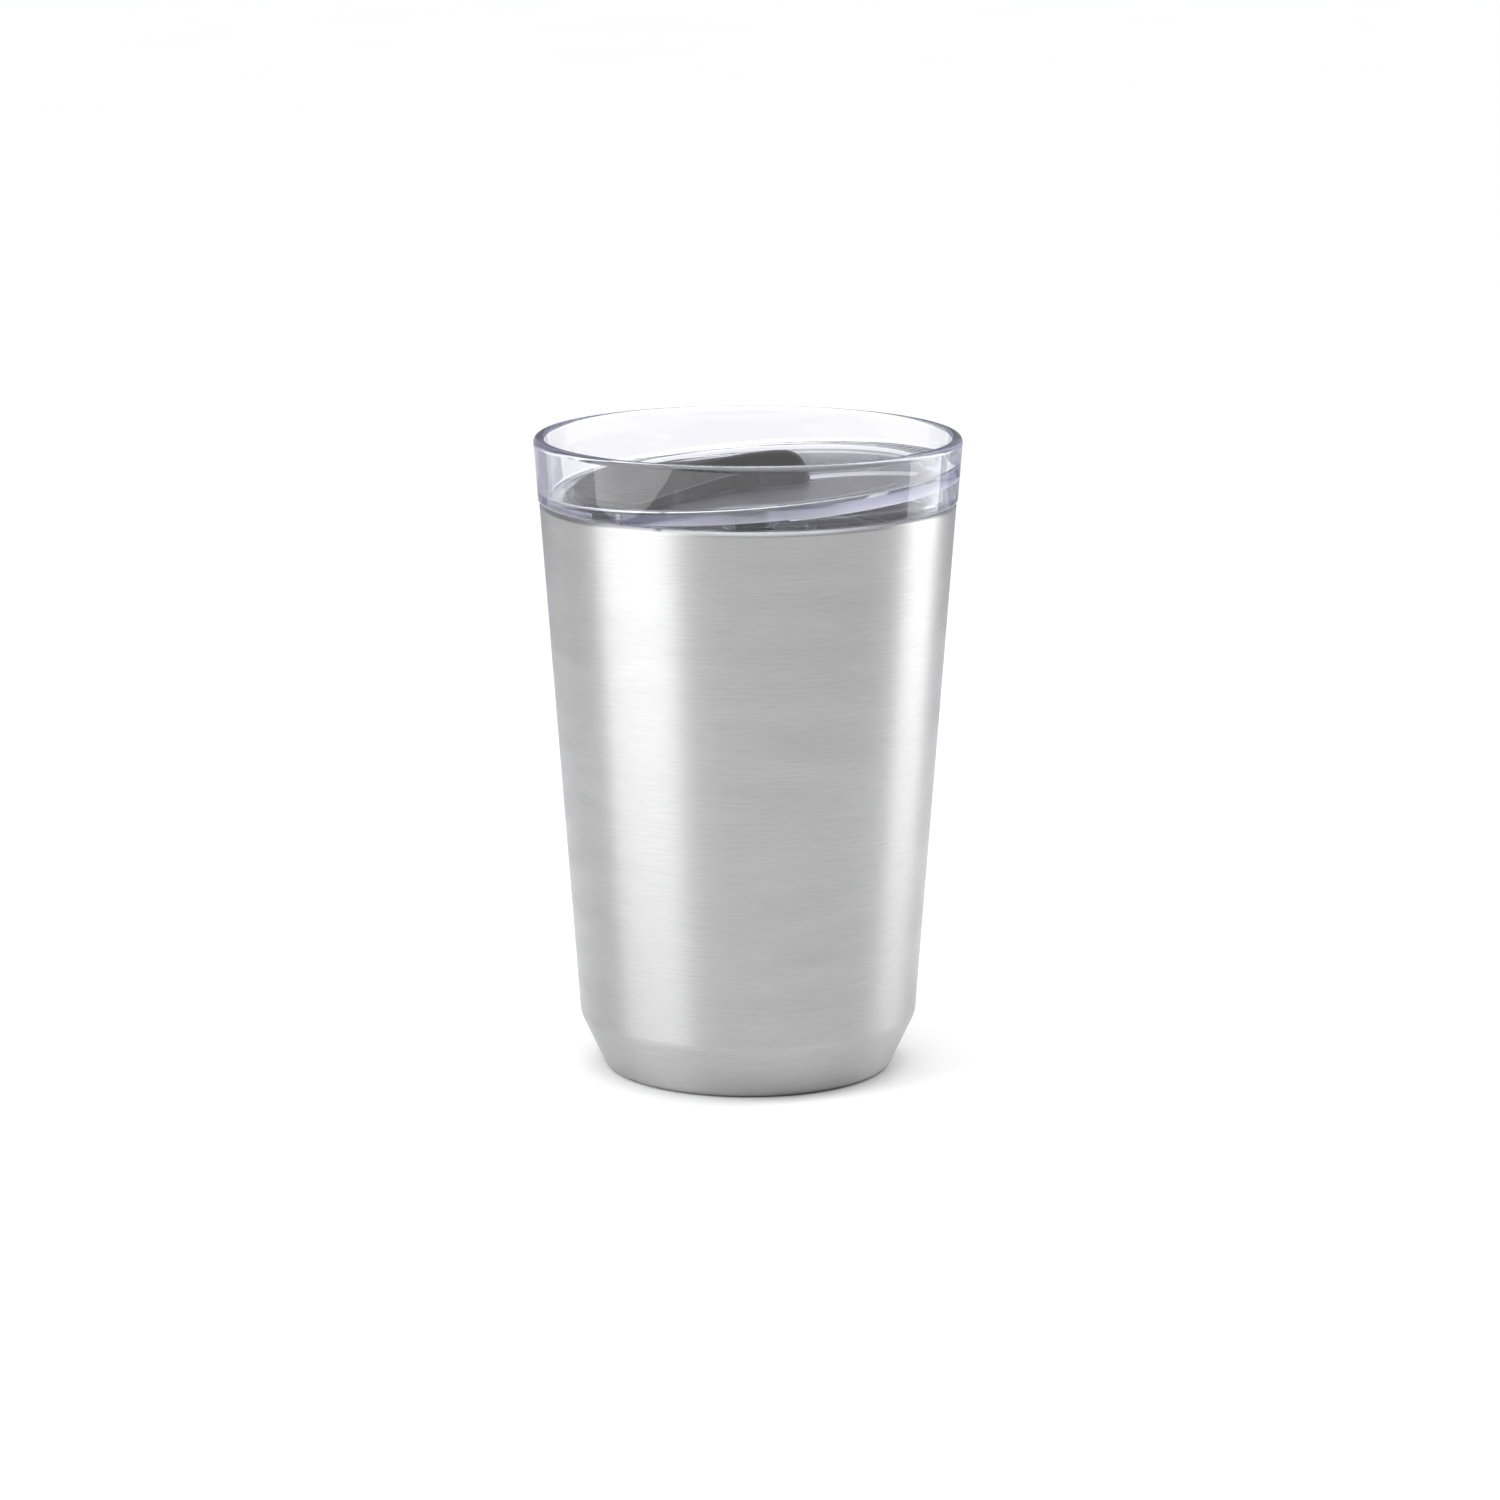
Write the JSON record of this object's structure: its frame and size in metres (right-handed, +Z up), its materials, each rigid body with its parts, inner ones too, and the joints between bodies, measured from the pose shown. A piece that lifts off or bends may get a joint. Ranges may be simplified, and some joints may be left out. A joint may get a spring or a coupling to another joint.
{
  "type": "insulated tumbler",
  "caption": "Tapered double-wall steel tumbler with a clear screw lid whose slanted floor carries a turning grey plug over the drinking port",
  "frame": {"origin": "centre of the foot ring's underside, on the surface the tumbler stands on", "axes": "+Z up along the cup's axis. +X toward the high side of the lid's slanted floor, turned 8 degrees from it, so the drinking port is on the -X side. -Y is the side seen from the front."},
  "size_m": [0.0898, 0.0898, 0.135],
  "materials": {
    "brushed_steel": "fine brushing round the wall",
    "satin_steel": "satin",
    "clear_copolyester": "clear, polished",
    "translucent_silicone": "matt, slightly translucent",
    "grey_polypropylene": "semi-gloss dark grey",
    "copper_foil": "bright",
    "getter_alloy": "pressed powder",
    "solder_glass": "glossy dark"
  },
  "bodies": {
    "tumbler_body": {"outer_shell": "brushed_steel", "inner_liner": "satin_steel", "bottom_cap": "satin_steel", "base_cover_disc": "brushed_steel", "vacuum_seal_bead": "solder_glass", "getter_pellet": "getter_alloy", "getter_strap": "satin_steel", "foil_sleeve": "copper_foil", "foil_disc": "copper_foil"},
    "lid_seal": {"lid_gasket": "translucent_silicone"},
    "lid": {"lid_collar": "clear_copolyester"},
    "plug": {"plug": "grey_polypropylene", "port_seal": "translucent_silicone", "stem_o_ring": "translucent_silicone", "plug_retainer": "grey_polypropylene"}
  },
  "joints": [
    {"name": "lid_lift", "type": "slide", "parent": "tumbler_body", "child": "lid_seal", "axis": [0, 0, 1], "range_m": [0, 0.011]},
    {"name": "lid_turn", "type": "hinge", "parent": "lid_seal", "child": "lid", "pos_m": [0, 0, 0.116], "axis": [0, 0, 1], "range_deg": [0, 540]},
    {"name": "plug_turn", "type": "hinge", "parent": "lid", "child": "plug", "pos_m": [0, 0, 0.1264], "axis": [-0.076, -0.0107, 0.9971], "range_deg": [0, 180]}
  ],
  "couplings": [
    {"joint": "lid_lift", "follows": "lid_turn", "m_per_rad": 0.0011141}
  ]
}
